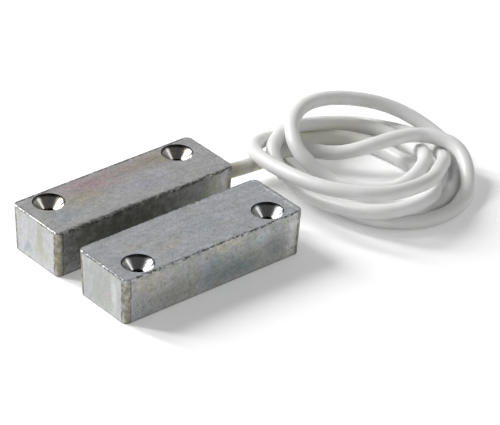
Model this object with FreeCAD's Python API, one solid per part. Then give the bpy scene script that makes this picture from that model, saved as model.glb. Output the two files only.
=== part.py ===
"""Armoured magnetic contact for doors and gates: a switch unit with its cable, and a magnet unit.

Both units use one zinc casting, open at the mounting face and filled with epoxy. They lie side by side on
their mounting faces, parallel, with the reed switch and the magnet along the sides that face each other.

Frame, in millimetres: X runs along the units towards the cable end, Y runs from the magnet unit to the
switch unit, Z is up. The origin is at the bottom centre of the box round both housings.
A unit is first modelled about its own centre, with the other unit on its -Y side.
"""
import FreeCAD
import Part
import math
import os

V = FreeCAD.Vector

# Housing casting, the same for both units
body_length = 55.0
body_width = 18.7
body_height = 12.6
side_draft_deg = 2.0
corner_radius = 1.6
top_edge_radius = 0.3
foot_edge_radius = 0.35
side_wall = 1.9
roof_thickness = 2.4
core_draft_deg = 1.0
core_corner_radius = 1.2
core_roof_radius = 0.5

# Fixing holes, countersunk for 3.5 mm screws
hole_end_distance = 7.5
hole_offset = 4.4
hole_radius = 1.75
countersink_radius = 4.1
countersink_rim_step = 0.45
countersink_angle_deg = 90.0
boss_wall = 1.6

# Place of the two units, as they lie in the pair
unit_gap = 7.36
unit_stagger = 0.3

# Epoxy filling
potting_recess = 0.3

# Cable
cable_diameter = 3.8
cable_hole_clearance = 0.1
cable_hole_chamfer = 0.3
cable_exit_offset = -1.0
cable_exit_height = 5.4
cable_grip_length = 5.0

# Coil of the cable, its outer shape only
coil_outer_radius = 28.0
coil_band_width = 13.5
coil_height = 13.0
coil_edge_radius = 5.0
coil_gap_to_switch = 9.6
coil_centre_y = -5.2

# Cable cores
core_radius = 0.5
core_copper_radius = 0.28
core_pitch = 1.24
core_strip_length = 1.4
core_bend_radius = 1.6

# Reed switch
reed_glass_length = 14.0
reed_glass_radius = 1.1
reed_glass_wall = 0.3
reed_seal_length = 1.5
reed_lead_radius = 0.25
reed_paddle_width = 1.0
reed_paddle_thickness = 0.2
reed_overlap = 1.4
reed_contact_gap = 0.05
reed_from_cable_end = 29.5
reed_height = 6.0
reed_to_wall = 0.6
reed_sleeve_clearance = 0.05
reed_sleeve_wall = 0.35
reed_sleeve_overhang = 0.5

# Soldered laps and the shrink sleeves over them
lap_clearance = 0.02
lap_length = 2.2
solder_wall = 0.2
shrink_clearance = 0.1
shrink_wall = 0.25
shrink_overlap = 1.2
joint_gap = 0.3

# Tamper loop, joined in the middle of the cavity
tamper_joint_from_hole = 12.0
tamper_joint_y = 2.0

# Bar magnet
magnet_length = 38.0
magnet_width = 5.6
magnet_height = 6.0
magnet_chamfer = 0.4
magnet_to_wall = 0.8
magnet_to_roof = 1.2

# Sizes that follow from the ones above
hole_spacing = body_length - 2 * hole_end_distance
cavity_length = body_length - 2 * side_wall
cavity_width = body_width - 2 * side_wall
cavity_height = body_height - roof_thickness
boss_radius = hole_radius + boss_wall
cable_radius = cable_diameter / 2
unit_pitch = body_width + unit_gap
switch_place = V(-unit_stagger / 2, unit_pitch / 2, 0)
magnet_place = V(unit_stagger / 2, -unit_pitch / 2, 0)
cable_end_x = cavity_length / 2 - cable_grip_length
reed_centre_x = body_length / 2 - reed_from_cable_end
reed_sleeve_bore = reed_glass_radius + reed_sleeve_clearance
reed_sleeve_radius = reed_sleeve_bore + reed_sleeve_wall
reed_y = -cavity_width / 2 + reed_to_wall + reed_sleeve_radius
joint_reach = lap_length / 2 + core_strip_length + shrink_overlap
joint_from_reed = reed_glass_length / 2 + reed_sleeve_overhang + joint_gap + joint_reach
tamper_joint_x = hole_spacing / 2 - tamper_joint_from_hole
contact_lap_offset = (reed_lead_radius + core_copper_radius + lap_clearance) / 2
tamper_lap_offset = core_radius + lap_clearance / 2


def drafted_block(length, width, height, draft_deg, radius):
    """Block on z = 0 with the given size at its top; its sides lean in by draft_deg towards the bottom."""
    lean = math.tan(math.radians(draft_deg)) * height
    half_x, half_y = length / 2, width / 2
    wedge = Part.makeWedge(
        -half_x + lean, 0, -half_y + lean, -half_y, -half_x,
        half_x - lean, height, half_y - lean, half_y, half_x)
    wedge.rotate(V(0, 0, 0), V(1, 0, 0), 90)
    upright = [edge for edge in wedge.Edges if edge.BoundBox.ZLength > height / 2]
    return wedge.makeFillet(radius, upright)


def rounded_at(solid, height, radius):
    """Rounds every edge of the solid that lies at one height."""
    level = [e for e in solid.Edges if e.BoundBox.ZLength < 1e-5 and abs(e.BoundBox.ZMin - height) < 1e-5]
    return solid.makeFillet(radius, level)


def rod(radius, start, end):
    """Round bar between two points."""
    return Part.makeCylinder(radius, (end - start).Length, start, end - start)


def along_x(centre, half_length):
    """The two ends of a line along X about a centre."""
    half = V(half_length, 0, 0)
    return centre - half, centre + half


def rounded_path(points, bend_radius):
    """Wire through the points, with a tangent arc at each inner point, as large as its two runs allow."""
    edges = []
    start = points[0]
    for before, corner, after in zip(points, points[1:], points[2:]):
        back, ahead = before - corner, after - corner
        room = 0.45 * min(back.Length, ahead.Length)
        back.normalize()
        ahead.normalize()
        half_turn = (math.pi - back.getAngle(ahead)) / 2
        radius = min(bend_radius, room / math.tan(half_turn))
        reach = radius * math.tan(half_turn)
        inward = back + ahead
        inward.normalize()
        first = corner + back * reach
        last = corner + ahead * reach
        middle = corner + inward * (radius / math.cos(half_turn) - radius)
        edges.append(Part.LineSegment(start, first).toShape())
        edges.append(Part.Arc(first, middle, last).toShape())
        start = last
    edges.append(Part.LineSegment(start, points[-1]).toShape())
    return Part.Wire(edges)


def bent_rod(radius, points):
    """Round bar along a path of straight runs and tangent arcs."""
    path = rounded_path(points, core_bend_radius)
    circle = Part.makeCircle(radius, points[0], points[1] - points[0])
    return path.makePipeShell([Part.Wire([circle])], True, False)


def hole_centres():
    """Fixing hole centres of one unit, on its mounting face."""
    return [V(side * hole_spacing / 2, hole_offset, 0) for side in (-1, 1)]


def cavity():
    """Space inside the casting, round its two screw bosses."""
    space = drafted_block(cavity_length, cavity_width, cavity_height, -core_draft_deg, core_corner_radius)
    space = rounded_at(space, cavity_height, core_roof_radius)
    return space.cut([Part.makeCylinder(boss_radius, cavity_height, centre) for centre in hole_centres()])


def screw_hole(centre):
    """Through hole with a countersink under a short straight rim."""
    cone_depth = (countersink_radius - hole_radius) / math.tan(math.radians(countersink_angle_deg / 2))
    rim_z = body_height - countersink_rim_step
    bore = Part.makeCylinder(hole_radius, body_height, centre)
    cone = Part.makeCone(hole_radius, countersink_radius, cone_depth, centre + V(0, 0, rim_z - cone_depth))
    rim = Part.makeCylinder(countersink_radius, countersink_rim_step, centre + V(0, 0, rim_z))
    return bore.fuse([cone, rim])


def casting():
    """Zinc housing shared by both units, before the cable hole is drilled."""
    body = drafted_block(body_length, body_width, body_height, side_draft_deg, corner_radius)
    body = rounded_at(body, body_height, top_edge_radius)
    body = rounded_at(body, 0, foot_edge_radius)
    body = body.cut(cavity())
    return body.cut([screw_hole(centre) for centre in hole_centres()])


def cable_hole():
    """Hole for the cable through the end wall, with its outer edge broken."""
    radius = cable_radius + cable_hole_clearance
    lean = math.tan(math.radians(side_draft_deg)) * (body_height - cable_exit_height)
    face = V(body_length / 2 - lean, cable_exit_offset, cable_exit_height)
    bore = rod(radius, face - V(1.5 * side_wall, 0, 0), face + V(side_wall, 0, 0))
    inner_edge = face - V(cable_hole_chamfer, 0, 0)
    growth = 2 * cable_hole_chamfer
    flare = Part.makeCone(radius, radius + growth, growth, inner_edge, V(1, 0, 0))
    return bore.fuse(flare)


def potting(buried):
    """Epoxy that fills the cavity round the buried solids, up to just under the mounting face."""
    below = Part.makeBox(2 * body_length, 2 * body_width, potting_recess, V(-body_length, -body_width, 0))
    return cavity().cut(below).cut(buried)


def reed_blade(side):
    """Ferrous blade, flat inside the glass and round outside; side is 1 at the cable end, -1 at the other."""
    root_x = reed_centre_x + side * (reed_glass_length / 2 - reed_seal_length)
    tip_x = reed_centre_x - side * reed_overlap / 2
    end_x = reed_centre_x + side * (joint_from_reed + lap_length / 2)
    low = reed_contact_gap / 2 if side > 0 else -reed_contact_gap / 2 - reed_paddle_thickness
    corner = V(min(root_x, tip_x), reed_y - reed_paddle_width / 2, reed_height + low)
    paddle = Part.makeBox(abs(root_x - tip_x), reed_paddle_width, reed_paddle_thickness, corner)
    lead_start = V(root_x - side * reed_paddle_width, reed_y, reed_height)
    return rod(reed_lead_radius, lead_start, V(end_x, reed_y, reed_height)).fuse(paddle)


def capsule(radius, centre, half_length):
    """Bar along X with round ends, turned from its half profile."""
    left, right = along_x(centre, half_length)
    up, inward, slant = V(0, 0, radius), V(radius, 0, 0), V(radius, 0, radius) * math.sqrt(0.5)
    left_round = Part.Arc(left, left + inward + V(-slant.x, 0, slant.z), left + inward + up)
    top = Part.LineSegment(left + inward + up, right - inward + up)
    right_round = Part.Arc(right - inward + up, right - inward + slant, right)
    axis_line = Part.LineSegment(right, left)
    outline = Part.Wire([curve.toShape() for curve in (left_round, top, right_round, axis_line)])
    return Part.Face(outline).revolve(centre, V(1, 0, 0), 360)


def reed_parts():
    """The reed switch in its sleeve, and the solids that it displaces in the potting."""
    centre = V(reed_centre_x, reed_y, reed_height)
    half = reed_glass_length / 2
    near, far = reed_blade(1), reed_blade(-1)
    gas = capsule(reed_glass_radius - reed_glass_wall, centre, half - reed_seal_length)
    glass = capsule(reed_glass_radius, centre, half).cut([gas, near, far])
    envelope = rod(reed_sleeve_radius, *along_x(centre, half + reed_sleeve_overhang))
    sleeve = envelope.cut(rod(reed_sleeve_bore, *along_x(centre, half + reed_sleeve_overhang)))
    parts = {
        "reed_glass": glass,
        "reed_sleeve": sleeve,
        "reed_blade_cable_end": near,
        "reed_blade_far_end": far}
    return parts, [envelope, near, far]


def core(name, points):
    """Insulated core whose copper is bare at the last point, and the solid that it displaces."""
    copper = bent_rod(core_copper_radius, points)
    back = points[-2] - points[-1]
    back.normalize()
    covered = points[:-1] + [points[-1] + back * (lap_length + core_strip_length)]
    skin = bent_rod(core_radius, covered)
    return {name + "_copper": copper, name + "_insulation": skin.cut(copper)}, [skin]


def joint(name, middle, lap_offset, members):
    """Soldered lap along X in a shrink sleeve; members are the two bars that it joins."""
    solder_radius = lap_offset + core_copper_radius + solder_wall
    bore = max(solder_radius, lap_offset + core_radius) + shrink_clearance
    solder = rod(solder_radius, *along_x(middle, lap_length / 2)).cut(members)
    envelope = rod(bore + shrink_wall, *along_x(middle, joint_reach))
    sleeve = envelope.cut(rod(bore, *along_x(middle, joint_reach)))
    return {"solder_joint_" + name: solder, "shrink_sleeve_" + name: sleeve}, [envelope]


def contact_core_points():
    """Paths of the two cores that go to the reed's leads."""
    y = cable_exit_offset - core_pitch / 2
    high = cable_exit_height + core_pitch / 2
    low = cable_exit_height - core_pitch / 2
    lap_z = reed_height + 2 * contact_lap_offset
    slope_x = cable_end_x - core_bend_radius
    near_x = reed_centre_x + joint_from_reed - lap_length / 2
    far_x = reed_centre_x - joint_from_reed + lap_length / 2
    turn_x = reed_centre_x - joint_from_reed - joint_reach - core_bend_radius - joint_gap
    near = [
        V(cable_end_x, y, high),
        V(slope_x, y, high),
        V(slope_x - abs(y - reed_y), reed_y, lap_z),
        V(near_x, reed_y, lap_z)]
    far = [
        V(cable_end_x, y, low),
        V(near_x, y, low),
        V(near_x - 3 * core_pitch, y, lap_z),
        V(turn_x, y, lap_z),
        V(turn_x, reed_y, lap_z),
        V(far_x, reed_y, lap_z)]
    return near, far


def tamper_core_points(side):
    """Path of one core of the tamper loop; side is 1 for the upper core, -1 for the lower one."""
    y = cable_exit_offset + core_pitch / 2
    start_z = cable_exit_height + side * core_pitch / 2
    lap_z = cable_exit_height + side * tamper_lap_offset
    slope_x = hole_spacing / 2 - boss_radius - core_radius
    return [
        V(cable_end_x, y, start_z),
        V(slope_x, y, start_z),
        V(slope_x - abs(tamper_joint_y - y), tamper_joint_y, lap_z),
        V(tamper_joint_x - lap_length / 2, tamper_joint_y, lap_z)]


def wiring_parts(blades):
    """The four cores, their soldered joints and sleeves, and the solids that they displace."""
    near, far = contact_core_points()
    built = [
        core("contact_core_a", near),
        core("contact_core_b", far),
        core("tamper_core_a", tamper_core_points(1)),
        core("tamper_core_b", tamper_core_points(-1))]
    copper = {name: shape for parts, _ in built for name, shape in parts.items() if name.endswith("copper")}
    lap_z = reed_height + contact_lap_offset
    built.append(joint(
        "cable_end", V(reed_centre_x + joint_from_reed, reed_y, lap_z), contact_lap_offset,
        [blades["reed_blade_cable_end"], copper["contact_core_a_copper"]]))
    built.append(joint(
        "far_end", V(reed_centre_x - joint_from_reed, reed_y, lap_z), contact_lap_offset,
        [blades["reed_blade_far_end"], copper["contact_core_b_copper"]]))
    built.append(joint(
        "tamper", V(tamper_joint_x, tamper_joint_y, cable_exit_height), tamper_lap_offset,
        [copper["tamper_core_a_copper"], copper["tamper_core_b_copper"]]))
    parts, bulks = {}, []
    for made, bulk in built:
        parts.update(made)
        bulks.extend(bulk)
    return parts, bulks


def cable_coil():
    """Outer shape of the loosely coiled cable: a rounded ring on the ground beyond the switch unit."""
    centre_x = switch_place.x + body_length / 2 + coil_gap_to_switch + coil_outer_radius
    centre = V(centre_x, coil_centre_y, 0)
    ring = Part.makeCylinder(coil_outer_radius, coil_height, centre)
    ring = ring.cut(Part.makeCylinder(coil_outer_radius - coil_band_width, coil_height, centre))
    edges = [e for e in ring.Edges if e.BoundBox.ZLength < 1e-5]
    return ring.makeFillet(coil_edge_radius, edges)


def cable_lead(coil):
    """Straight stretch of the cable from its end inside the housing to the coil."""
    start = switch_place + V(cable_end_x, cable_exit_offset, cable_exit_height)
    reach = V(coil.BoundBox.Center.x - start.x, 0, 0)
    pieces = rod(cable_radius, start, start + reach).cut(coil).Solids
    lead = min(pieces, key=lambda piece: piece.BoundBox.XMin)
    section = math.pi * cable_radius ** 2
    print("cable_lead: straight, no bend radius; length %.2f mm, volume over section %.2f mm"
          % (lead.BoundBox.XLength, lead.Volume / section))
    return lead


def switch_unit():
    """Every piece of the switch unit but the cable, about the unit's own centre."""
    grip = rod(cable_radius, V(cable_end_x, cable_exit_offset, cable_exit_height),
               V(body_length / 2, cable_exit_offset, cable_exit_height))
    parts = {"switch_housing": casting().cut(cable_hole())}
    reed, reed_bulk = reed_parts()
    wiring, wiring_bulk = wiring_parts(reed)
    parts["switch_potting"] = potting(reed_bulk + wiring_bulk + [grip])
    parts.update(reed)
    parts.update(wiring)
    return parts


def magnet_unit():
    """Every piece of the magnet unit, about the unit's own centre."""
    corner = V(
        -magnet_length / 2,
        -cavity_width / 2 + magnet_to_wall,
        cavity_height - magnet_to_roof - magnet_height)
    bar = Part.makeBox(magnet_length, magnet_width, magnet_height, corner)
    bar = bar.makeChamfer(magnet_chamfer, bar.Edges)
    return {"magnet_housing": casting(), "bar_magnet": bar, "magnet_potting": potting([bar])}


def build():
    """All nodes in the pair's frame."""
    nodes = {}
    for name, shape in switch_unit().items():
        nodes[name] = shape.translated(switch_place)
    for name, shape in magnet_unit().items():
        nodes[name] = shape.rotated(V(0, 0, 0), V(0, 0, 1), 180).translated(magnet_place)
    nodes["cable_coil"] = cable_coil()
    nodes["cable_lead"] = cable_lead(nodes["cable_coil"])
    return nodes


os.makedirs("parts", exist_ok=True)
for node, shape in build().items():
    print("%-26s valid %s, volume %.2f mm3" % (node, shape.isValid(), shape.Volume))
    shape.exportStep(os.path.join("parts", node + ".step"))
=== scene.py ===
"""Looks of the armoured magnetic contact: two zinc housings and the loosely coiled white cable of one.

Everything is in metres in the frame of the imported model: X runs along the housings towards the cable end, Y
from the magnet unit to the switch unit, and Z up from the surface that both lie on.
"""
import logging
import math
from dataclasses import dataclass
from enum import Enum
from typing import Optional, Union

import bmesh
import bpy
from mathutils import Matrix, Vector


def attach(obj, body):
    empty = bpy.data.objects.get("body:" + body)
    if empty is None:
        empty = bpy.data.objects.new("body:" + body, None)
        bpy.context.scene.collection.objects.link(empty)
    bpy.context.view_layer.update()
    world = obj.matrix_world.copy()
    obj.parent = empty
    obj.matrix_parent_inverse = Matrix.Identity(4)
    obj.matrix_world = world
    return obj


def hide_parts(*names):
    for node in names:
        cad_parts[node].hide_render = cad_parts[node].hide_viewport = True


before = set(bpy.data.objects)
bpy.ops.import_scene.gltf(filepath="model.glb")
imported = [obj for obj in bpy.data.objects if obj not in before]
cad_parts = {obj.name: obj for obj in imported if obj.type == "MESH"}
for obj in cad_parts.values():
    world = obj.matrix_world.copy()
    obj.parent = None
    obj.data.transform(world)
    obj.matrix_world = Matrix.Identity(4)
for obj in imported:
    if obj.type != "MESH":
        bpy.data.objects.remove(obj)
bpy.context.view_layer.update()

log = logging.getLogger("magnetic_contact")

Pair = tuple[float, float]
Span = Pair
Colour = tuple[float, float, float]
Point = tuple[float, float, float]
Levels = tuple[Pair, ...]
Socket = bpy.types.NodeSocket
Sockets = tuple[Socket, ...]
Feed = Union[float, Colour, Socket]
Owner = Union[bpy.types.Material, bpy.types.World]
MM = 0.001


@dataclass(frozen=True)
class Cloud:
    """A noise pattern: cells per millimetre, octaves, strength of the finer ones, distortion and stretch."""

    scale: float
    detail: float = 3.0
    roughness: float = 0.55
    warp: float = 0.0
    stretch: Point = (1.0, 1.0, 1.0)


class ShaderBoard:
    """A node tree under construction, with short ways to add and join its nodes."""

    noise_span: Span = (0.3, 0.7)

    def __init__(self, owner: Owner) -> None:
        """Starts with an empty tree.

        Args:
            owner: Material or world that gets the nodes.
        """
        owner.use_nodes = True
        self.owner = owner
        self.tree = owner.node_tree
        self.tree.nodes.clear()
        self.places: dict[tuple[Point, Point], Socket] = {}

    def node(self, kind: str, inputs: Optional[dict] = None, **settings: str) -> bpy.types.Node:
        """Adds a node.

        Args:
            kind: Node type, as Blender names it.
            inputs: Value or output socket for each input, by its name or number.
            settings: Properties of the node itself.

        Returns:
            The new node.
        """
        made = self.tree.nodes.new(kind)
        for key, value in settings.items():
            setattr(made, key, value)
        for key, value in (inputs or {}).items():
            self.feed(made.inputs[key], value)
        return made

    def feed(self, socket: Socket, value: Feed) -> None:
        """Links an output to a socket, or writes a plain value on it.

        Args:
            socket: Input socket.
            value: Output socket, number, colour or vector.
        """
        if isinstance(value, bpy.types.NodeSocket):
            self.tree.links.new(value, socket)
        elif isinstance(value, tuple) and len(value) == 3 and socket.type == "RGBA":
            socket.default_value = (*value, 1.0)
        else:
            socket.default_value = value

    def maths(self, operation: str, a: Feed, b: Feed = 0.0) -> Socket:
        """One step of arithmetic on two numbers or sockets."""
        return self.node("ShaderNodeMath", {0: a, 1: b}, operation=operation).outputs[0]

    def vector_maths(self, operation: str, a: Feed, b: Feed = (0.0, 0.0, 0.0)) -> bpy.types.Node:
        """One step of arithmetic on two vectors, as a node with outputs for a vector and a value."""
        return self.node("ShaderNodeVectorMath", {0: a, 1: b}, operation=operation)

    def product(self, *parts: Feed) -> Feed:
        """Product of numbers or sockets.

        Args:
            parts: What is multiplied, in this order.

        Returns:
            The product.
        """
        result = parts[0]
        for part in parts[1:]:
            result = self.maths("MULTIPLY", result, part)
        return result

    def blend(self, share: Feed, first: Feed, second: Feed, how: str = "MIX") -> Socket:
        """Mixes two colours.

        Args:
            share: Share of the second colour, a number or a socket.
            first: First colour or socket.
            second: Second colour or socket.
            how: Blend type of the mix.

        Returns:
            The mixed colour.
        """
        mixer = self.node("ShaderNodeMix", data_type="RGBA", blend_type=how)
        self.feed(mixer.inputs["Factor"], share)
        self.feed(mixer.inputs[6], first)
        self.feed(mixer.inputs[7], second)
        return mixer.outputs[2]

    def between(self, value: Feed, span: Span, result: Span = (0.0, 1.0)) -> Socket:
        """Smooth step of a value from one range to another.

        Args:
            value: Socket to read.
            span: Values that give the start and the end of the result.
            result: Start and end of the result.

        Returns:
            The stepped value.
        """
        inputs = {
            "Value": value, "From Min": span[0], "From Max": span[1],
            "To Min": result[0], "To Max": result[1]}
        return self.node("ShaderNodeMapRange", inputs, interpolation_type="SMOOTHSTEP").outputs[0]

    def spread(self, noise: Feed, result: Span = (0.0, 1.0)) -> Socket:
        """Smooth step of a noise over its usual range."""
        return self.between(noise, self.noise_span, result)

    def millimetres(self, origin: Point = (0.0, 0.0, 0.0), stretch: Point = (1.0, 1.0, 1.0)) -> Socket:
        """Place on the piece in millimetres.

        Args:
            origin: Point in metres that becomes zero.
            stretch: Further scale of each axis.

        Returns:
            A vector socket.
        """
        key = (origin, stretch)
        if key not in self.places:
            here = self.node("ShaderNodeTexCoord").outputs["Object"]
            moved = self.vector_maths("SUBTRACT", here, origin).outputs[0]
            scale = tuple(part / MM for part in stretch)
            self.places[key] = self.vector_maths("MULTIPLY", moved, scale).outputs[0]
        return self.places[key]

    def noise(self, place: Socket, pattern: Cloud) -> Socket:
        """Noise value between 0 and 1.

        Args:
            place: Vector socket.
            pattern: The noise's pattern, whose stretch the place already has.

        Returns:
            The noise as a number.
        """
        made = self.node("ShaderNodeTexNoise", {
            "Vector": place, "Scale": pattern.scale, "Detail": pattern.detail, "Roughness": pattern.roughness,
            "Distortion": pattern.warp})
        return made.outputs["Fac"]

    def cloud(self, origin: Point, pattern: Cloud) -> Socket:
        """Noise of a pattern, placed from a point in metres."""
        return self.noise(self.millimetres(origin, pattern.stretch), pattern)

    def bump(self, height: Socket, depth: float, strength: float, normal: Optional[Socket] = None) -> Socket:
        """Normal that follows a height.

        Args:
            height: Height between 0 and 1.
            depth: Depth of the full height, in millimetres.
            strength: Share of the effect.
            normal: Normal of a bump below this one.

        Returns:
            The bumped normal.
        """
        inputs = {"Height": height, "Distance": depth * MM, "Strength": strength}
        if normal is not None:
            inputs["Normal"] = normal
        return self.node("ShaderNodeBump", inputs).outputs[0]

    def finish(self, **sockets: Feed) -> Owner:
        """Ends the material in one Principled shader.

        Args:
            sockets: Values or sockets by input name, with underscores for spaces.

        Returns:
            The finished material.
        """
        inputs = {key.replace("_", " "): value for key, value in sockets.items()}
        shader = self.node("ShaderNodeBsdfPrincipled", inputs)
        self.node("ShaderNodeOutputMaterial", {"Surface": shader.outputs[0]})
        return self.owner


def dress(name: str, *materials: bpy.types.Material) -> bpy.types.Object:
    """Puts materials on a node of the frame in place of its plain one.

    Args:
        name: Name of the node.
        materials: Materials in the order of their slots.

    Returns:
        The node.
    """
    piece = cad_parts[name]
    piece.data.materials.clear()
    for material in materials:
        piece.data.materials.append(material)
    log.info("%s dressed", name)
    return piece


@dataclass(frozen=True)
class TonePatch:
    """A soft-edged patch of another tone on a casting, placed from the unit's centre in millimetres; most are
    real staining, two are painted shade and one is a painted highlight.
    """

    centre: Point
    reach: Point
    tone: Colour
    strength: float


@dataclass(frozen=True)
class CastZinc:
    """Passivated die-cast zinc: mottled grey, with faces painted lighter and darker as light falls on them,
    dirt and painted shade on its corners, a painted contact shadow along its foot, and wear and a painted
    highlight along its top edge.

    Lengths are in millimetres. A span says where a value starts and ends its effect.
    """

    length: float
    width: float
    height: float
    draft_deg: float
    top_grey: Colour
    edge_shine: Span
    pitted_reach: float
    corner_radius: float = 1.6
    # The side and end greys are painted light: the long sides darker and the end faces lighter than the top,
    # as light falls on them; their small shifts of hue are the casting's tint.
    shaded_side_grey: Colour = (0.43, 0.44, 0.435)
    lit_end_grey: Colour = (0.60, 0.605, 0.62)
    olive: Colour = (0.47, 0.475, 0.39)
    lavender: Colour = (0.53, 0.515, 0.57)
    blue_grey: Colour = (0.43, 0.455, 0.49)
    # Dark brown of the rounded upright corners: partly dirt, partly painted shade.
    corner_grime_and_shade: Colour = (0.21, 0.195, 0.145)
    # Dark tone of the pitted wear, also used for the painted shade beside the corners and the painted contact
    # shadow along the foot.
    pit_and_shade: Colour = (0.09, 0.085, 0.08)
    # Bright spots along the top edge: partly worn metal, partly a painted highlight.
    bright: Colour = (0.62, 0.60, 0.59)
    metallic: float = 0.92
    roughness: Span = (0.40, 0.50)
    roughness_grain: Span = (-0.04, 0.04)
    fine: Cloud = Cloud(2.4, 3.0, 0.65)
    patches: Cloud = Cloud(0.45, 5.0, 0.62, 0.3)
    broad: Cloud = Cloud(0.11, 4.0, 0.6, 0.6)
    drips: Cloud = Cloud(0.38, 4.0, 0.6, 0.4, (1.0, 1.0, 0.3))
    grain: Cloud = Cloud(1.0, 3.0, 0.6)
    streaks: Cloud = Cloud(1.1, 3.0, 0.6, 0.0, (0.2, 1.0, 0.6))
    specks: Cloud = Cloud(1.7, 2.0, 0.5)
    corner_cloud: Cloud = Cloud(1.1, 4.0, 0.6, 0.0, (1.0, 1.0, 0.6))
    ragged: Cloud = Cloud(0.9, 5.0, 0.7, 0.0, (1.0, 1.0, 2.0))
    wear: Cloud = Cloud(1.1, 3.0, 0.6)
    side_span: Span = (0.2, 0.8)
    end_span: Span = (1.4, 0.4)
    olive_drips: Span = (0.50, 0.64)
    lavender_drips: Span = (0.47, 0.36)
    drip_strength: Span = (0.0, 0.6)
    olive_clouds: Span = (0.48, 0.68)
    olive_strength: Span = (0.0, 0.40)
    blue_patches: Span = (0.52, 0.70)
    blue_strength: Span = (0.0, 0.55)
    fine_span: Span = (0.25, 0.75)
    fine_shade: Span = (0.80, 1.18)
    grain_shade: Span = (-0.09, 0.09)
    patch_shade: Span = (-0.10, 0.10)
    streak_shade: Span = (-0.07, 0.07)
    speck_span: Span = (0.64, 0.72)
    speck_depth: Span = (0.0, 0.35)
    end_evenness: float = 0.6
    corner_cloud_span: Span = (0.36, 0.58)
    grime_and_shade_strength: Span = (0.35, 0.95)
    grime_and_shade_past_corner: float = 0.2
    grime_and_shade_fade: float = 0.3
    corner_line: Span = (0.34, 0.06)
    corner_line_strength: float = 0.7
    # Painted contact shadow along the foot.
    foot_shadow_span: Span = (0.6, 0.15)
    foot_shadow_strength: Span = (0.0, 0.6)
    edge_unevenness: Span = (-0.15, 0.45)
    rubbed_and_highlight_span: Span = (0.46, 0.10)
    full_pit_share: float = 0.3
    end_to_side: Span = (-0.3, 0.3)
    rubbed_and_highlight_specks: Span = (0.53, 0.62)
    pitted_specks: Span = (0.50, 0.40)
    rubbed_and_highlight_strength: float = 0.8
    pitted_strength: float = 0.85
    tone_patch_span: Span = (1.25, 0.1)
    tone_patch_unevenness: Span = (0.35, -0.35)

    def material(self, name: str, centre: Point, tone_patches: tuple[TonePatch, ...]) -> bpy.types.Material:
        """Builds the finish for one unit.

        Args:
            name: Name of the material.
            centre: Centre of the unit's mounting face, in metres.
            tone_patches: Patches of tone on this unit, mostly real staining, some painted shade and a painted
                highlight.

        Returns:
            The material.
        """
        board = ShaderBoard(bpy.data.materials.new(name))
        place = board.millimetres(centre)
        axes = board.node("ShaderNodeSeparateXYZ", {0: place})
        below_top = board.maths("SUBTRACT", self.height, axes.outputs["Z"])
        lean = board.maths("MULTIPLY", below_top, math.tan(math.radians(self.draft_deg)))
        from_end = self._inside(board, axes.outputs["X"], self.length / 2, lean)
        from_long = self._inside(board, axes.outputs["Y"], self.width / 2, lean)
        on_side = board.between(below_top, self.side_span)
        on_end = board.product(on_side, board.between(from_end, self.end_span))
        fine = board.cloud(centre, self.fine)
        patches = board.cloud(centre, self.patches)

        tone = self._mottled(board, centre, (on_side, on_end), patches)
        # Patches of tone: mostly real staining, two painted shade and one a painted highlight.
        for tone_patch in tone_patches:
            tone = self._patched(board, tone, place, tone_patch, patches)
        tone = self._shaded(board, centre, tone, (fine, patches, on_end))
        from_corner = board.maths("MAXIMUM", from_end, from_long)
        # Dirt and painted shade on the corners, and a painted contact shadow along the foot.
        tone = self._grimed_and_shaded(board, centre, tone, (axes.outputs["Z"], on_side, from_corner))
        # Bright spots along the top edge are partly wear and partly a painted highlight.
        bright, dark = self._edge_wear_and_highlight(board, centre, (from_end, from_long, below_top))
        tone = board.blend(board.product(bright, self.rubbed_and_highlight_strength), tone, self.bright)
        tone = board.blend(board.product(dark, self.pitted_strength), tone, self.pit_and_shade)

        rough = board.spread(patches, self.roughness)
        rough = board.maths("ADD", rough, board.spread(fine, self.roughness_grain))
        normal = board.bump(board.cloud(centre, self.broad), depth=0.10, strength=0.6)
        normal = board.bump(patches, depth=0.05, strength=0.5, normal=normal)
        normal = board.bump(fine, depth=0.018, strength=0.6, normal=normal)
        normal = board.bump(board.maths("SUBTRACT", 1.0, dark), depth=0.06, strength=0.8, normal=normal)
        return board.finish(Base_Color=tone, Metallic=self.metallic, Roughness=rough, Normal=normal)

    @staticmethod
    def _inside(board: ShaderBoard, along: Socket, half: float, lean: Socket) -> Socket:
        """Distance inwards from the pair of drafted faces across one axis.

        Args:
            board: Material under construction.
            along: Place along the axis.
            half: Half the unit's size along it, at the top.
            lean: How much the draft adds to that at this height.

        Returns:
            The distance in millimetres.
        """
        reach = board.maths("SUBTRACT", half, lean)
        return board.maths("SUBTRACT", reach, board.maths("ABSOLUTE", along))

    def _mottled(self, board: ShaderBoard, centre: Point, faces: Sockets, patches: Socket) -> Socket:
        """Starts from a grey for each face, with the end faces painted lighter and the long sides painted
        darker than the top as light falls on them, then lays clouds of olive, lavender and blue grey, drawn
        out downwards on the sides.

        Args:
            board: Material under construction.
            centre: Centre of the unit's mounting face, in metres.
            faces: Shares that are one on all side faces, and one on the end faces only.
            patches: Noise with patches of about two millimetres.

        Returns:
            The tone.
        """
        on_side, on_end = faces
        broad = board.cloud(centre, self.broad)
        drip = board.cloud(centre, self.drips)
        # Painted light: long sides darker and end faces lighter than the top.
        tone = board.blend(on_side, self.top_grey, self.shaded_side_grey)
        tone = board.blend(on_end, tone, self.lit_end_grey)
        for span, colour in ((self.olive_drips, self.olive), (self.lavender_drips, self.lavender)):
            share = board.product(board.between(drip, span, self.drip_strength), on_side)
            tone = board.blend(share, tone, colour)
        tone = board.blend(board.between(broad, self.olive_clouds, self.olive_strength), tone, self.olive)
        blue = board.between(patches, self.blue_patches, self.blue_strength)
        return board.blend(blue, tone, self.blue_grey)

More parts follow.
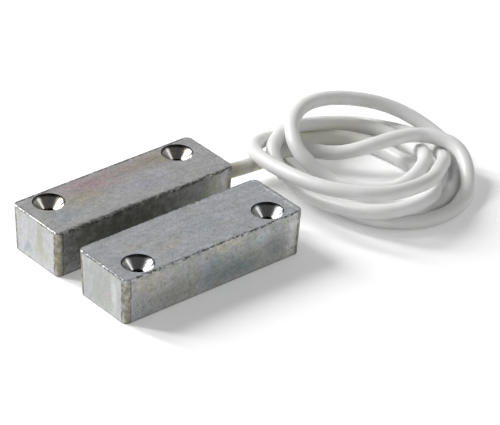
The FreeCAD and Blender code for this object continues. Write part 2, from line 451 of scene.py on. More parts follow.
    def _shaded(self, board: ShaderBoard, centre: Point, tone: Socket, noises: Sockets) -> Socket:
        """Uneven depth of the grey: grain, patches, streaks along the unit and small dark specks.

        Args:
            board: Material under construction.
            centre: Centre of the unit's mounting face, in metres.
            tone: Tone before.
            noises: Fine noise, noise of the patches, and the share of the smoother end faces.

        Returns:
            The new tone.
        """
        fine, patches, on_end = noises
        shade = board.between(fine, self.fine_span, self.fine_shade)
        layers = (
            (board.cloud(centre, self.grain), self.grain_shade),
            (patches, self.patch_shade),
            (board.cloud(centre, self.streaks), self.streak_shade))
        for noise, strength in layers:
            shade = board.maths("ADD", shade, board.spread(noise, strength))
        speck = board.between(board.cloud(centre, self.specks), self.speck_span, self.speck_depth)
        shade = board.maths("SUBTRACT", shade, speck)
        evenness = board.product(on_end, self.end_evenness)
        shade = board.product(shade, board.maths("SUBTRACT", 1.0, evenness))
        shade = board.maths("ADD", shade, evenness)
        grey = board.node("ShaderNodeCombineColor", {0: shade, 1: shade, 2: shade}).outputs[0]
        return board.blend(1.0, tone, grey, "MULTIPLY")

    def _grimed_and_shaded(self, board: ShaderBoard, centre: Point, tone: Socket, places: Sockets) -> Socket:
        """Dirt and painted shade on the rounded upright corners, a dark line beside them that is partly dirt
        and partly painted shade, and a painted contact shadow along the foot.

        Args:
            board: Material under construction.
            centre: Centre of the unit's mounting face, in metres.
            tone: Tone before.
            places: Height above the mounting face, share of the sides, and distance from the upright edge.

        Returns:
            The new tone.
        """
        height, on_side, from_corner = places
        # Dirt and painted shade over the rounded upright corners.
        corner_cloud = board.cloud(centre, self.corner_cloud)
        start = self.corner_radius + self.grime_and_shade_past_corner
        end = self.corner_radius - self.grime_and_shade_fade
        zone = board.product(board.between(from_corner, (start, end)), on_side)
        grime_and_shade = board.product(zone, board.between(corner_cloud, self.corner_cloud_span, self.grime_and_shade_strength))
        tone = board.blend(grime_and_shade, tone, self.corner_grime_and_shade)
        # Dark line beside the rounded corners, partly dirt and partly painted shade.
        beside = board.maths("ABSOLUTE", board.maths("SUBTRACT", from_corner, self.corner_radius))
        line = board.product(board.between(beside, self.corner_line), on_side)
        line = board.product(line, board.between(corner_cloud, self.corner_cloud_span), self.corner_line_strength)
        tone = board.blend(line, tone, self.pit_and_shade)
        # Painted contact shadow along the foot.
        return board.blend(board.between(height, self.foot_shadow_span, self.foot_shadow_strength), tone, self.pit_and_shade)

    def _edge_wear_and_highlight(self, board: ShaderBoard, centre: Point, distances: Sockets) -> Sockets:
        """Worn top edge with a painted highlight: bright spots, partly worn metal and partly a painted
        highlight on the rounded edge, and spots pitted dark, in shares that edge_shine sets.

        Args:
            board: Material under construction.
            centre: Centre of the unit's mounting face, in metres.
            distances: Distances from the end face, from the long face and below the top, in millimetres.

        Returns:
            Strengths of the bright spots of wear and painted highlight, and of the dark wear.
        """
        from_end, from_long, below_top = distances
        from_side = board.maths("MAXIMUM", board.maths("MINIMUM", from_end, from_long), 0.0)
        from_edge = board.maths("ADD", from_side, board.maths("MAXIMUM", below_top, 0.0))
        uneven = board.spread(board.cloud(centre, self.ragged), self.edge_unevenness)
        from_edge = board.maths("SUBTRACT", from_edge, uneven)
        # Bright spots: partly wear, partly a painted highlight on the rounded edge.
        rubbed_and_highlight = board.between(from_edge, self.rubbed_and_highlight_span)
        pitted = board.between(from_edge, (self.pitted_reach, self.full_pit_share * self.pitted_reach))
        nearer_end = board.maths("SUBTRACT", from_long, from_end)
        across = board.between(nearer_end, self.end_to_side, self.edge_shine)
        speck = board.maths("ADD", board.cloud(centre, self.wear), across)
        bright = board.product(rubbed_and_highlight, board.between(speck, self.rubbed_and_highlight_specks))
        dark = board.product(pitted, board.between(speck, self.pitted_specks))
        return bright, dark

    def _patched(
            self, board: ShaderBoard, tone: Socket, place: Socket, tone_patch: TonePatch, patches: Socket) -> Socket:
        """Lays one patch of tone over a tone.

        Args:
            board: Material under construction.
            tone: Tone below the patch.
            place: Place in millimetres from the unit's centre.
            tone_patch: The patch.
            patches: Noise that makes its outline uneven.

        Returns:
            The new tone.
        """
        offset = board.vector_maths("SUBTRACT", place, tone_patch.centre).outputs[0]
        shrunk = board.vector_maths("DIVIDE", offset, tone_patch.reach).outputs[0]
        far = board.vector_maths("LENGTH", shrunk).outputs["Value"]
        uneven = board.maths("ADD", far, board.spread(patches, self.tone_patch_unevenness))
        return board.blend(board.between(uneven, self.tone_patch_span, (0.0, tone_patch.strength)), tone, tone_patch.tone)


@dataclass(frozen=True)
class MachinedZinc:
    """Cut metal of the countersinks and bores, in bright and dull facets, with painted shade below the rim.
    """

    hole_offset: Pair
    dull: Colour
    tone: Colour = (0.72, 0.72, 0.71)
    # Painted shade below the rim of each countersink, where the rim wall shades the cone.
    grime_and_shade: Colour = (0.07, 0.07, 0.065)
    rim_shade_heights: Span = (11.65, 12.05)
    grime_and_shade_strength: Span = (0.0, 0.9)
    facets: Cloud = Cloud(3.4, 2.0, 0.5)
    dull_facets: Span = (0.44, 0.58)
    fine: Cloud = Cloud(3.0, 3.0)
    facet_span: Span = (0.4, 0.6)
    roughness: Span = (0.15, 0.27)
    roughness_grain: Span = (0.0, 0.03)

    def material(self, name: str, centre: Point) -> bpy.types.Material:
        """Builds the finish.

        Args:
            name: Name of the material.
            centre: Centre of the unit's mounting face, in metres.

        Returns:
            The material.
        """
        board = ShaderBoard(bpy.data.materials.new(name))
        axes = board.node("ShaderNodeSeparateXYZ", {0: board.millimetres(centre)})
        reach = board.maths("MULTIPLY", board.maths("SIGN", axes.outputs["X"]), self.hole_offset[0])
        across = board.maths("SUBTRACT", axes.outputs["X"], reach)
        along = board.maths("SUBTRACT", axes.outputs["Y"], self.hole_offset[1])
        around = board.node("ShaderNodeCombineXYZ", {0: across, 1: along, 2: 0.0}).outputs[0]
        facet = board.noise(board.vector_maths("NORMALIZE", around).outputs[0], self.facets)
        fine = board.cloud(centre, self.fine)
        tone = board.blend(board.between(facet, self.dull_facets), self.tone, self.dull)
        # Painted shade below the rim.
        shaded = board.between(axes.outputs["Z"], self.rim_shade_heights, self.grime_and_shade_strength)
        tone = board.blend(shaded, tone, self.grime_and_shade)
        rough = board.between(facet, self.facet_span, self.roughness)
        rough = board.maths("ADD", rough, board.spread(fine, self.roughness_grain))
        normal = board.bump(fine, depth=0.002, strength=0.4)
        return board.finish(Base_Color=tone, Metallic=1.0, Roughness=rough, Normal=normal)


@dataclass(frozen=True)
class CableJacket:
    """Smooth white plastic of the cable, darkened brown where it leaves the housing, partly by dirt and
    partly as painted shade, and yellowed low down near there.

    Lengths are in millimetres, and heights count from the middle of the cable where it leaves the housing.
    """

    white: Colour = (0.81, 0.805, 0.81)
    grey_white: Colour = (0.77, 0.77, 0.75)
    # Brown near the housing: partly dirt, partly painted shade of the units beside the lead.
    soil_and_shade_tone: Colour = (0.41, 0.37, 0.24)
    soil_and_shade_lengths: Span = (19.0, 4.0)
    soil_and_shade_unevenness: Span = (-3.0, 3.0)
    soil_and_shade_strength: Span = (0.0, 0.85)
    soil_and_shade_heights: Span = (2.9, 2.3)
    yellowed: Colour = (0.80, 0.795, 0.71)
    yellowed_lengths: Span = (62.0, 37.2)
    yellowed_heights: Span = (1.5, -0.5)
    yellowed_from_front: Span = (-9.0, -3.0)
    clouds: Cloud = Cloud(0.16, 3.0, 0.6)
    cloud_span: Span = (0.35, 0.65)
    fine: Cloud = Cloud(1.8, 4.0, 0.6)
    roughness: Span = (0.30, 0.40)

    def material(self, name: str, exit_point: Point) -> bpy.types.Material:
        """Builds the finish.

        Args:
            name: Name of the material.
            exit_point: Where the cable leaves the housing, in metres.

        Returns:
            The material.
        """
        board = ShaderBoard(bpy.data.materials.new(name))
        place = board.millimetres(exit_point)
        axes = board.node("ShaderNodeSeparateXYZ", {0: place})
        away = board.vector_maths("LENGTH", place).outputs["Value"]
        cloud = board.cloud(exit_point, self.clouds)
        fine = board.cloud(exit_point, self.fine)
        tone = board.blend(board.between(cloud, self.cloud_span), self.white, self.grey_white)
        yellow = board.product(
            board.between(away, self.yellowed_lengths),
            board.between(axes.outputs["Z"], self.yellowed_heights),
            board.between(axes.outputs["Y"], self.yellowed_from_front))
        tone = board.blend(yellow, tone, self.yellowed)
        # Dirt and painted shade on the lead near the housing.
        uneven = board.maths("ADD", away, board.spread(cloud, self.soil_and_shade_unevenness))
        soil_and_shade = board.product(
            board.between(uneven, self.soil_and_shade_lengths, self.soil_and_shade_strength),
            board.between(axes.outputs["Z"], self.soil_and_shade_heights))
        tone = board.blend(soil_and_shade, tone, self.soil_and_shade_tone)
        normal = board.bump(cloud, depth=0.06, strength=0.3)
        normal = board.bump(fine, depth=0.006, strength=0.4, normal=normal)
        return board.finish(Base_Color=tone, Roughness=board.spread(fine, self.roughness), Normal=normal)


@dataclass(frozen=True)
class PouredEpoxy:
    """Dark epoxy, level and slightly glossy, with a few small bubbles."""

    tone: Colour = (0.018, 0.018, 0.02)
    second: Colour = (0.035, 0.034, 0.034)
    clouds: Cloud = Cloud(0.2, 3.0)
    bubbles_per_mm: float = 0.55
    bubble_span: Span = (0.07, 0.12)
    roughness: Span = (0.16, 0.34)

    def material(self, name: str) -> bpy.types.Material:
        """Builds the finish.

        Args:
            name: Name of the material.

        Returns:
            The material.
        """
        board = ShaderBoard(bpy.data.materials.new(name))
        place = board.millimetres()
        cloud = board.noise(place, self.clouds)
        bubbles = board.node("ShaderNodeTexVoronoi", {
            "Vector": place, "Scale": self.bubbles_per_mm, "Randomness": 1.0}).outputs["Distance"]
        pits = board.between(bubbles, self.bubble_span)
        tone = board.blend(board.spread(cloud), self.tone, self.second)
        normal = board.bump(cloud, depth=0.15, strength=0.4)
        normal = board.bump(pits, depth=0.12, strength=0.7, normal=normal)
        return board.finish(Base_Color=tone, Roughness=board.spread(cloud, self.roughness), Normal=normal)


@dataclass(frozen=True)
class PlainFinish:
    """Simple finish of an inner piece: one tone broken by noise, on plastic, metal or glass."""

    tone: Colour
    second: Colour
    roughness: float
    metallic: float = 0.0
    transmission: float = 0.0
    clouds: Cloud = Cloud(1.2, 3.0)
    roughness_shares: Span = (0.85, 1.15)

    def material(self, name: str) -> bpy.types.Material:
        """Builds the finish.

        Args:
            name: Name of the material.

        Returns:
            The material.
        """
        board = ShaderBoard(bpy.data.materials.new(name))
        cloud = board.noise(board.millimetres(), self.clouds)
        tone = board.blend(board.spread(cloud), self.tone, self.second)
        smooth, rough = (self.roughness * share for share in self.roughness_shares)
        return board.finish(
            Base_Color=tone, Metallic=self.metallic, Roughness=board.spread(cloud, (smooth, rough)),
            Transmission_Weight=self.transmission, Normal=board.bump(cloud, depth=0.01, strength=0.4))


class CoreColour(Enum):
    """Insulation of the four cores."""

    RED = PlainFinish((0.52, 0.02, 0.02), (0.45, 0.02, 0.015), 0.35)
    BLACK = PlainFinish((0.02, 0.02, 0.02), (0.03, 0.03, 0.03), 0.35)
    YELLOW = PlainFinish((0.75, 0.52, 0.03), (0.68, 0.46, 0.02), 0.35)
    BLUE = PlainFinish((0.02, 0.07, 0.40), (0.02, 0.06, 0.33), 0.35)


@dataclass(frozen=True)
class ContactUnit:
    """One of the two housings with its filling.

    The centre of its mounting face is in metres, and its sizes are in millimetres.
    """

    name: str
    centre: Point
    hole_offset: float
    top_grey: Colour
    edge_shine: Span
    pitted_reach: float
    cut_dull: Colour
    tone_patches: tuple[TonePatch, ...]
    body_length: float = 55.0
    body_width: float = 18.7
    body_height: float = 12.6
    draft_deg: float = 2.0
    hole_spacing: float = 40.0
    countersink_radius: float = 4.1
    rim_margin: float = 0.05
    least_level: float = 0.98

    def hole_axes(self) -> tuple[Point, ...]:
        """Axes of the two fixing holes, in metres."""
        x, y, _ = self.centre
        y += self.hole_offset * MM
        return tuple((x + side * self.hole_spacing / 2 * MM, y, 0.0) for side in (-1, 1))

    def build(self) -> None:
        """Gives the housing its cast and machined finishes and the filling its own."""
        cast = CastZinc(
            length=self.body_length, width=self.body_width, height=self.body_height, draft_deg=self.draft_deg,
            top_grey=self.top_grey, edge_shine=self.edge_shine, pitted_reach=self.pitted_reach)
        machined = MachinedZinc((self.hole_spacing / 2, self.hole_offset), self.cut_dull)
        body = dress(
            self.name + "_housing",
            cast.material(self.name + "_cast_zinc", self.centre, self.tone_patches),
            machined.material(self.name + "_machined_zinc", self.centre))
        self._mark_machined(body)
        dress(self.name + "_potting", PouredEpoxy().material(self.name + "_epoxy"))

    def _mark_machined(self, body: bpy.types.Object) -> None:
        """Puts the faces of the countersinks and bores into the second slot.

        Args:
            body: The housing.
        """
        reach = (self.countersink_radius + self.rim_margin) * MM
        for face in body.data.polygons:
            face.material_index = 0
            for x, y, _ in self.hole_axes():
                near = math.hypot(face.center.x - x, face.center.y - y) < reach
                if near and abs(face.normal.z) < self.least_level:
                    face.material_index = 1


@dataclass(frozen=True)
class InnerParts:
    """Reed, wiring and magnet, which the epoxy hides."""

    copper: PlainFinish = PlainFinish((0.80, 0.42, 0.24), (0.72, 0.36, 0.20), 0.25, 1.0)
    solder: PlainFinish = PlainFinish((0.70, 0.70, 0.72), (0.60, 0.60, 0.62), 0.22, 1.0)
    plated: PlainFinish = PlainFinish((0.62, 0.60, 0.56), (0.55, 0.53, 0.50), 0.28, 1.0)
    glass: PlainFinish = PlainFinish((0.80, 0.92, 0.86), (0.76, 0.90, 0.83), 0.05, 0.0, 0.9)
    milky: PlainFinish = PlainFinish((0.72, 0.72, 0.68), (0.66, 0.66, 0.62), 0.45)
    shrink: PlainFinish = PlainFinish((0.02, 0.02, 0.02), (0.03, 0.03, 0.03), 0.5)
    ground: PlainFinish = PlainFinish((0.16, 0.16, 0.17), (0.22, 0.22, 0.22), 0.4, 0.8)

    def build(self) -> None:
        """Gives every hidden node the finish of what it is."""
        finishes = {
            "reed_glass": self.glass,
            "reed_sleeve": self.milky,
            "reed_blade_cable_end": self.plated,
            "reed_blade_far_end": self.plated,
            "contact_core_a_insulation": CoreColour.RED.value,
            "contact_core_b_insulation": CoreColour.BLACK.value,
            "tamper_core_a_insulation": CoreColour.YELLOW.value,
            "tamper_core_b_insulation": CoreColour.BLUE.value,
            "bar_magnet": self.ground}
        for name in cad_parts:
            finish = finishes.get(name)
            if name.endswith("_copper"):
                finish = self.copper
            elif name.startswith("solder_joint"):
                finish = self.solder
            elif name.startswith("shrink_sleeve"):
                finish = self.shrink
            if finish is not None:
                dress(name, finish.material(name + "_finish"))


@dataclass(frozen=True)
class AlarmCable:
    """Four-core alarm cable: a short lead, about four and three quarter loose turns, and a bare end.

    The lead's points are x, y, z in millimetres. Each turn is read every thirty degrees, clockwise from
    above, as its distance from the coil's centre and its height, both in millimetres. The exit point and the
    stated length are in metres.
    """

    diameter: float = 3.8
    exit_point: Point = (0.0271, 0.01203, 0.0054)
    lead: tuple[Point, ...] = (
        (20.45, 12.03, 5.4), (27.1, 12.03, 5.4), (32.0, 12.0, 5.3), (38.0, 11.8, 4.8), (44.0, 11.6, 4.6),
        (50.0, 11.3, 5.9), (55.5, 8.4, 5.3), (60.0, 3.4, 4.8), (64.5, -0.8, 6.4), (70.0, -3.6, 8.2),
        (76.0, -5.6, 9.0), (82.0, -8.4, 8.5))
    coil_centre: Pair = (63.0, -4.0)
    first_angle: float = -30.0
    angle_step: float = 30.0
    turns: tuple[tuple[Pair, ...], ...] = (
        ((26.6, 7.4), (29.5, 1.9), (29.5, 1.9), (25.0, 1.9), (19.0, 1.9), (16.0, 1.9),
         (17.5, 1.9), (25.3, 1.9), (27.0, 1.9), (26.5, 1.9), (24.5, 1.9), (24.4, 3.1)),
        ((22.0, 4.4), (21.0, 8.4), (25.8, 11.4), (29.9, 12.6), (28.8, 12.6), (27.6, 12.1),
         (29.6, 10.6), (25.2, 6.6), (20.7, 2.0), (18.0, 1.9), (13.5, 1.9), (12.5, 1.9)),
        ((15.0, 1.9), (20.5, 3.8), (26.3, 6.2), (27.2, 5.8), (22.5, 4.1), (20.2, 3.0),
         (24.3, 8.5), (21.5, 9.7), (21.5, 6.2), (22.5, 3.8), (20.5, 3.1), (18.5, 2.4)),
        ((17.0, 6.3), (16.1, 6.1), (13.5, 3.1), (11.1, 2.8), (9.8, 2.8), (10.7, 3.1),
         (17.2, 9.2), (19.7, 12.4), (21.8, 12.9), (23.5, 10.9), (27.0, 7.4), (29.0, 2.0)),
        ((25.4, 1.9), (24.5, 1.9), (25.2, 1.9), (19.5, 1.9)))
    length: float = 0.66
    spline_order: int = 3
    steps_along: int = 10
    steps_around: int = 8
    core_radius: float = 0.5
    core_pitch: float = 1.24
    core_stub: float = 0.7
    core_root: float = 0.1
    core_sides: int = 24
    core_taper: float = 0.96
    copper_radius: float = 0.28
    copper_stub: float = 1.12

    def route(self) -> list[Vector]:
        """Control points of the whole cable.

        Returns:
            The points in metres, from the end inside the housing to the bare end.
        """
        points = [Vector(point) for point in self.lead]
        angle = math.radians(self.first_angle)
        for turn in self.turns:
            for radius, height in turn:
                x = self.coil_centre[0] + radius * math.cos(angle)
                y = self.coil_centre[1] + radius * math.sin(angle)
                points.append(Vector((x, y, height)))
                angle -= math.radians(self.angle_step)
        return [point * MM for point in points]

    def build(self) -> bpy.types.Object:
        """Makes the cable as one smooth spline with a round section.

        Returns:
            The cable.
        """
        points = self.route()
        curve = bpy.data.curves.new("alarm_cable", "CURVE")
        curve.dimensions = "3D"
        spline = curve.splines.new("NURBS")
        spline.points.add(len(points) - 1)
        for slot, point in zip(spline.points, points):
            slot.co = (*point, 1.0)
        spline.order_u = self.spline_order
        spline.use_endpoint_u = True
        spline.use_smooth = True
        curve.resolution_u = self.steps_along
        curve.bevel_depth = self.diameter / 2 * MM
        curve.bevel_resolution = self.steps_around
        curve.use_fill_caps = True
        cable = bpy.data.objects.new("alarm_cable", curve)
        bpy.context.scene.collection.objects.link(cable)
        curve.materials.append(CableJacket().material("cable_jacket", self.exit_point))
        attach(cable, "root")
        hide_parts("cable_lead", "cable_coil")
        ends = self._core_ends(points[-1], (points[-1] - points[-2]).normalized())
        log.info("%s built with %d points", cable.name, len(points))
        return cable

    def _core_ends(self, place: Vector, direction: Vector) -> bpy.types.Object:
        """Cut ends of the four cores at the cable's bare end.

        Args:
            place: Centre of the cut face.
            direction: Way that the cable points there.

        Returns:
            One piece with the four cores and their copper.
        """
        mesh = bpy.data.meshes.new("core_ends")
        form = bmesh.new()
        side = direction.cross(Vector((0, 0, 1))).normalized()
        up = side.cross(direction)
        turn = Matrix((side, up, direction)).transposed().to_4x4()
        half = self.core_pitch / 2
        spots = ((-half, -half), (half, -half), (half, half), (-half, half))
        for slot, (a, b) in enumerate(spots):
            insulation = (self.core_radius, self.core_stub, slot)
            copper = (self.copper_radius, self.copper_stub, len(spots))
            for radius, stub, material in (insulation, copper):
                centre = place + (side * a + up * b) * MM + direction * (stub / 2 - self.core_root) * MM
                made = bmesh.ops.create_cone(
                    form, cap_ends=True, segments=self.core_sides, depth=stub * MM,
                    radius1=radius * MM, radius2=radius * self.core_taper * MM,
                    matrix=Matrix.Translation(centre) @ turn)
                for face in {face for vertex in made["verts"] for face in vertex.link_faces}:
                    face.material_index = material
                    face.smooth = len(face.verts) == 4
        form.to_mesh(mesh)
        form.free()
        for colour in CoreColour:
            mesh.materials.append(colour.value.material("core_end_" + colour.name.lower()))
        mesh.materials.append(InnerParts().copper.material("core_end_copper"))
        ends = bpy.data.objects.new("core_ends", mesh)
        bpy.context.scene.collection.objects.link(ends)
        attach(ends, "root")
        log.info("%s built", ends.name)
        return ends


@dataclass(frozen=True)
class Lamp:
    """A soft rectangular lamp."""

    name: str
    place: Point
    aim: Point
    size: Pair
    watts: float
    colour: Colour = (1.0, 1.0, 1.0)

    def hang(self) -> None:
        """Puts the lamp in the scene."""
        data = bpy.data.lights.new(self.name, "AREA")
        data.shape = "RECTANGLE"
        data.size, data.size_y = self.size
        data.energy = self.watts
        data.color = self.colour
        lamp = bpy.data.objects.new(self.name, data)
        lamp.location = self.place
        lamp.rotation_euler = (Vector(self.aim) - Vector(self.place)).to_track_quat("-Z", "Y").to_euler()
        bpy.context.scene.collection.objects.link(lamp)


@dataclass(frozen=True)
class Studio:
    """Pale floor, soft light and the camera."""

    floor_tone: Colour = (0.95, 0.95, 0.95)
    floor_lift: float = 0.18
    lift_tone: Colour = (1.0, 1.0, 1.0)
    floor_gap: float = 0.00002
    hole_axis: Pair = (20.0, 17.43)
    hole_radius: float = 3.0
    floor_size: float = 8.0
    near_levels: Levels = ((0.0, 0.75), (0.25, 0.72), (0.52, 0.42), (0.78, 0.06), (0.90, 0.06), (1.0, 0.45))
    far_levels: Levels = ((0.0, 0.30), (0.30, 0.34), (0.60, 0.40), (0.78, 0.08), (0.90, 0.06), (1.0, 0.45))
    near_side: Point = (-0.656, -0.755, 0.0)
    far_to_near: Span = (-0.3, 0.3)
    camera_place: Point = (-0.41642, -0.51387, 0.41525)
    camera_azimuth: float = 40.961
    camera_elevation: float = 31.395
    camera_roll: float = 2.303
    lens: float = 229.11
    sensor: float = 36.0
    clips: Span = (0.01, 50.0)
    lamps: tuple[Lamp, ...] = (
        Lamp("left_window", (-0.83, 1.10, 1.13), (0.03, 0.0, 0.0), (0.24, 1.0), 17.5),
        Lamp("right_window", (-0.43, 1.36, 1.13), (0.03, 0.0, 0.0), (0.24, 1.0), 17.5),
        Lamp("back_panel", (1.01, 1.15, 0.94), (0.0, 0.0, 0.0), (1.3, 1.0), 1.65),
        Lamp("narrow_strip", (1.09, -0.82, 1.03), (0.03, 0.0, 0.0), (0.34, 0.80), 1.3))

    def build(self) -> None:
        """Makes the floor, the world, the lamps and the camera."""
        self._floor()
        self._world()
        for lamp in self.lamps:
            lamp.hang()
        self._camera()
        bpy.context.scene.view_settings.view_transform = "Standard"
        log.info("studio built")

    def _floor(self) -> None:
        """Large pale floor that looks white to the camera and in reflections, and keeps the shadows."""
        mesh = bpy.data.meshes.new("floor")
        form = bmesh.new()
        bmesh.ops.create_grid(form, x_segments=1, y_segments=1, size=self.floor_size / 2)
        form.to_mesh(mesh)
        form.free()
        floor = bpy.data.objects.new("floor", mesh)
        floor.location.z = -self.floor_gap
        bpy.context.scene.collection.objects.link(floor)
        board = ShaderBoard(bpy.data.materials.new("floor"))
        diffuse = board.node("ShaderNodeBsdfDiffuse", {"Color": self.floor_tone}).outputs[0]
        axes = board.node("ShaderNodeSeparateXYZ", {0: board.millimetres()})
        aside = [
            board.maths("SUBTRACT", board.maths("ABSOLUTE", axes.outputs[axis]), offset)
            for axis, offset in zip("XY", self.hole_axis)]
        squares = [board.maths("MULTIPLY", part, part) for part in aside]
        open_floor = board.maths("GREATER_THAN", board.maths("ADD", *squares), self.hole_radius ** 2)
        lift = board.maths("MULTIPLY", open_floor, self.floor_lift)
        glow = board.node("ShaderNodeEmission", {"Color": self.lift_tone, "Strength": lift}).outputs[0]
        lifted = board.node("ShaderNodeAddShader", {0: diffuse, 1: glow}).outputs[0]
        ray = board.node("ShaderNodeLightPath")
        seen = board.maths("MAXIMUM", ray.outputs["Is Camera Ray"], ray.outputs["Is Glossy Ray"])
        seen = board.maths("MAXIMUM", seen, ray.outputs["Is Transmission Ray"])
        mixed = board.node("ShaderNodeMixShader", {0: seen, 1: diffuse, 2: lifted}).outputs[0]
        board.node("ShaderNodeOutputMaterial", {"Surface": mixed})
        mesh.materials.append(board.owner)

    def _world(self) -> None:
        """Studio that is bright low down on the near side, and dim on the far side and overhead."""
        world = bpy.data.worlds.new("studio")
        bpy.context.scene.world = world
        board = ShaderBoard(world)
        place = board.node("ShaderNodeTexCoord").outputs["Generated"]
        height = board.node("ShaderNodeSeparateXYZ", {0: place}).outputs["Z"]
        facing = board.vector_maths("DOT_PRODUCT", place, self.near_side).outputs["Value"]
        far, near = (self._ramp(board, height, levels) for levels in (self.far_levels, self.near_levels))
        both = board.blend(board.between(facing, self.far_to_near), far, near)
        backdrop = board.node("ShaderNodeBackground", {"Color": both}).outputs[0]
        board.node("ShaderNodeOutputWorld", {"Surface": backdrop})

    @staticmethod
    def _ramp(board: ShaderBoard, value: Socket, levels: Levels) -> Socket:
        """Grey ramp through given levels.

        Args:
            board: Node tree that gets the ramp.
            value: Socket between 0 and 1.
            levels: Position and level of each stop.

        Returns:
            The ramp's colour.
        """
        ramp = board.node("ShaderNodeValToRGB", {0: value})
        ramp.color_ramp.interpolation = "EASE"
        stops = ramp.color_ramp.elements
        stops.remove(stops[1])
        stops[0].position = levels[0][0]
        stops[0].color = (levels[0][1],) * 3 + (1.0,)
        for position, level in levels[1:]:
            stops.new(position).color = (level, level, level, 1.0)
        return ramp.outputs[0]

    def _camera(self) -> None:
        """Camera at the photograph's viewing angle."""
        azimuth = math.radians(self.camera_azimuth)
        elevation = math.radians(self.camera_elevation)
        roll = math.radians(self.camera_roll)
        flat = math.cos(elevation)
        ahead = Vector((math.sin(azimuth) * flat, math.cos(azimuth) * flat, -math.sin(elevation)))
        level = ahead.cross(Vector((0, 0, 1))).normalized()
        up = level.cross(ahead)
        right = level * math.cos(roll) + up * math.sin(roll)
        top = up * math.cos(roll) - level * math.sin(roll)
        facing = Matrix((right, top, -ahead)).transposed().to_4x4()
        data = bpy.data.cameras.new("camera")
        data.sensor_width = self.sensor
        data.lens = self.lens
        data.clip_start, data.clip_end = self.clips
        camera = bpy.data.objects.new("camera", data)
        camera.matrix_world = Matrix.Translation(self.camera_place) @ facing
        bpy.context.scene.collection.objects.link(camera)
        bpy.context.scene.camera = camera


# Tones and patches of the two units: centre, reach, tone and strength of each patch. Most patches are real
# staining; the marked ones are painted shade and a painted highlight.
SWITCH_GREY = (0.505, 0.50, 0.505)
MAGNET_GREY = (0.50, 0.515, 0.54)
SWITCH_PATCHES = (
    TonePatch((-7.0, 4.5, 12.6), (9.0, 4.6, 3.0), (0.49, 0.35, 0.37), 0.85),
    TonePatch((3.5, 5.4, 12.6), (8.0, 3.4, 3.0), (0.46, 0.37, 0.35), 0.65),
    TonePatch((-13.0, 1.0, 12.6), (8.0, 4.0, 3.0), (0.46, 0.43, 0.32), 0.6),
    TonePatch((13.2, 5.0, 12.6), (7.0, 3.4, 3.0), (0.41, 0.36, 0.27), 0.8),
    TonePatch((5.0, -2.8, 12.6), (7.0, 2.6, 3.0), (0.46, 0.45, 0.55), 0.55),
    TonePatch((-19.9, -3.5, 12.6), (5.0, 3.0, 3.0), (0.42, 0.46, 0.53), 0.55),
    # Painted shade: the face in the gap between the units, darkened where the units shade it.
    TonePatch((-9.0, -9.1, 6.0), (25.0, 1.3, 13.0), (0.12, 0.12, 0.09), 0.85),
    TonePatch((-27.0, -8.7, 6.0), (1.5, 1.5, 9.0), (0.52, 0.44, 0.31), 0.7),
    TonePatch((-27.3, -1.9, 9.0), (1.5, 1.6, 5.0), (0.44, 0.45, 0.34), 0.65),
    TonePatch((-27.3, 3.0, 3.4), (1.5, 1.8, 1.7), (0.32, 0.38, 0.45), 0.65),
    TonePatch((-27.3, 5.0, 8.0), (1.5, 2.5, 3.2), (0.60, 0.60, 0.65), 0.5),
    TonePatch((21.0, -9.1, 6.0), (4.5, 1.5, 8.0), (0.52, 0.55, 0.42), 0.5),
    TonePatch((25.6, -9.1, 6.0), (1.0, 1.5, 9.0), (0.24, 0.19, 0.12), 0.6))
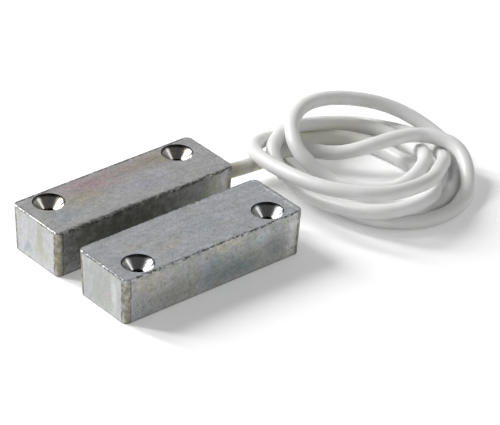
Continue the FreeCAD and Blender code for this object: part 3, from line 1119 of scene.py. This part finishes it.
MAGNET_PATCHES = (
    # Painted highlight along the rounded top edge of the end towards +X.
    TonePatch((26.2, 0.0, 12.6), (0.45, 11.0, 1.0), (0.76, 0.75, 0.70), 0.75),
    # Painted shade over the whole end face towards -X.
    TonePatch((-27.3, 0.0, 6.0), (1.5, 11.0, 10.0), (0.44, 0.45, 0.44), 0.85),
    TonePatch((-10.0, -3.0, 12.6), (6.0, 1.9, 2.0), (0.57, 0.50, 0.45), 0.55),
    TonePatch((-16.2, 1.6, 12.6), (4.0, 2.5, 2.0), (0.55, 0.52, 0.46), 0.45),
    TonePatch((3.0, -0.5, 12.6), (6.0, 3.0, 2.0), (0.40, 0.46, 0.51), 0.5),
    TonePatch((0.0, -9.1, 6.6), (6.0, 1.5, 4.4), (0.26, 0.34, 0.39), 0.6),
    TonePatch((6.0, -9.1, 3.5), (13.0, 1.5, 4.0), (0.24, 0.29, 0.30), 0.75),
    TonePatch((14.0, -9.1, 9.2), (3.4, 1.5, 2.6), (0.50, 0.58, 0.62), 0.7),
    TonePatch((19.0, -9.1, 5.5), (4.2, 1.5, 3.8), (0.28, 0.28, 0.29), 0.65),
    TonePatch((23.8, -9.1, 6.5), (1.8, 1.5, 8.0), (0.66, 0.66, 0.64), 0.65),
    TonePatch((3.5, -9.1, 11.2), (7.0, 1.5, 2.0), (0.58, 0.54, 0.44), 0.6),
    TonePatch((-20.0, -9.1, 9.0), (6.0, 1.5, 3.6), (0.57, 0.52, 0.45), 0.5),
    TonePatch((-10.8, -9.1, 3.6), (7.0, 1.5, 3.2), (0.32, 0.32, 0.25), 0.6),
    TonePatch((-27.3, -4.6, 6.0), (1.5, 1.4, 6.5), (0.68, 0.70, 0.70), 0.65),
    TonePatch((-27.3, 1.4, 3.2), (1.5, 1.7, 3.2), (0.42, 0.47, 0.40), 0.55),
    TonePatch((-27.3, -2.2, 4.6), (1.5, 1.2, 2.6), (0.57, 0.47, 0.47), 0.5),
    TonePatch((-27.3, 7.6, 8.0), (1.5, 1.1, 5.0), (0.62, 0.58, 0.48), 0.55))


def main() -> None:
    """Builds and dresses every piece in order."""
    logging.basicConfig(level=logging.INFO, format="%(message)s")
    Studio().build()
    AlarmCable().build()
    ContactUnit(
        name="switch", centre=(-0.00015, 0.01303, 0.0), hole_offset=4.4, top_grey=SWITCH_GREY,
        edge_shine=(-0.10, 0.01), pitted_reach=0.85, cut_dull=(0.56, 0.50, 0.40),
        tone_patches=SWITCH_PATCHES).build()
    ContactUnit(
        name="magnet", centre=(0.00015, -0.01303, 0.0), hole_offset=-4.4, top_grey=MAGNET_GREY,
        edge_shine=(-0.05, -0.075), pitted_reach=0.50, cut_dull=(0.46, 0.47, 0.48),
        tone_patches=MAGNET_PATCHES).build()
    InnerParts().build()


if __name__ == "__main__":
    main()
